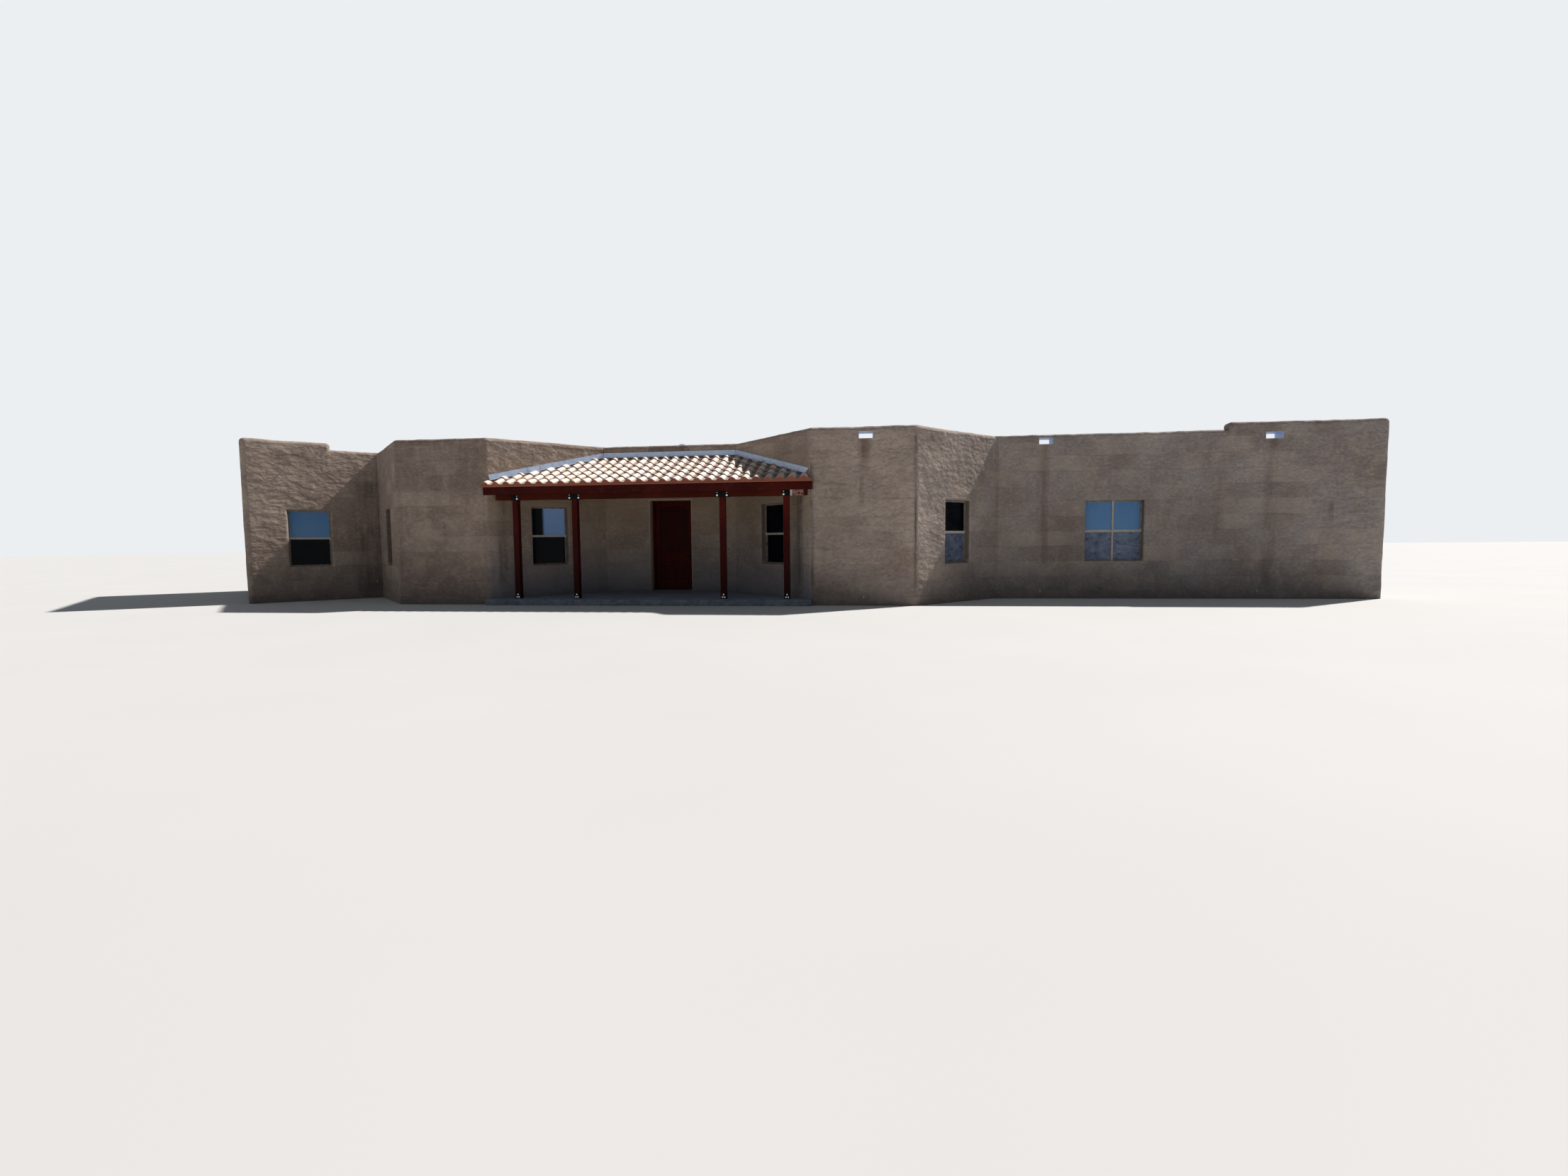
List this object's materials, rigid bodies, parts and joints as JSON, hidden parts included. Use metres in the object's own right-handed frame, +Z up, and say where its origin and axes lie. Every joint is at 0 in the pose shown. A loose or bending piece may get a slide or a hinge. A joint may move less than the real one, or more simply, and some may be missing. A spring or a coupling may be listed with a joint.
{
  "type": "adobe house",
  "caption": "Single-storey adobe house with stuccoed walls, rounded stepped parapets, splayed bays, a flat roof and a tiled timber entry porch with an arched-panel door.",
  "frame": {"origin": "ground level at the middle of the front doorway, half-way through the entry wall", "axes": "+X to the right along the front as seen from outside, +Y into the house, +Z up"},
  "size_m": [33.1719, 10.43, 4.62],
  "materials": {
    "stucco": "matte",
    "concrete": "matte",
    "roof_coating": "matte",
    "galvanised": "satin",
    "window_vinyl": "satin",
    "window_glass": "gloss",
    "door_wood": "satin",
    "stained_wood": "satin",
    "black_steel": "satin",
    "bronze": "satin",
    "clay_tile": "matte"
  },
  "bodies": {
    "house": {"floor_slab": "concrete", "porch_slab": "concrete", "wing_front_wall": "stucco", "left_return_wall": "stucco", "left_bay_wall": "stucco", "porch_left_wall": "stucco", "entry_wall_left": "stucco", "entry_wall_right": "stucco", "entry_wall_head": "stucco", "porch_right_wall": "stucco", "right_bay_wall": "stucco", "right_return_wall": "stucco", "long_front_wall": "stucco", "right_end_wall": "stucco", "back_wall": "stucco", "wing_back_wall": "stucco", "wing_end_wall": "stucco", "flat_roof": "roof_coating", "roof_vent": "galvanised", "scupper_liners": "galvanised", "wing_window_frame": "window_vinyl", "return_window_frames": "window_vinyl", "porch_window_frames": "window_vinyl", "long_wall_window_frame": "window_vinyl", "rear_window_frames": "window_vinyl", "front_window_glass": "window_glass", "rear_window_glass": "window_glass", "door_jambs": "door_wood", "door_frame_head": "door_wood", "door_threshold": "bronze", "hinge_jamb_leaves": "bronze", "porch_posts": "stained_wood", "post_bases": "black_steel", "post_caps": "black_steel", "porch_beam": "stained_wood", "porch_rafters": "stained_wood", "porch_fascia": "stained_wood", "porch_roof_boards": "stained_wood", "porch_tile_bed": "clay_tile", "side_flashings": "galvanised", "back_flashing": "galvanised", "pipe_stubs": "bronze"},
    "door": {"front_door": "door_wood", "door_handles": "black_steel", "hinge_door_leaves": "bronze"}
  },
  "joints": [
    {"name": "front_door_hinge", "type": "hinge", "parent": "house", "child": "door", "pos_m": [-0.5265, 0.188, 0.2], "axis": [0, 0, 1], "range_deg": [0, 95]}
  ]
}
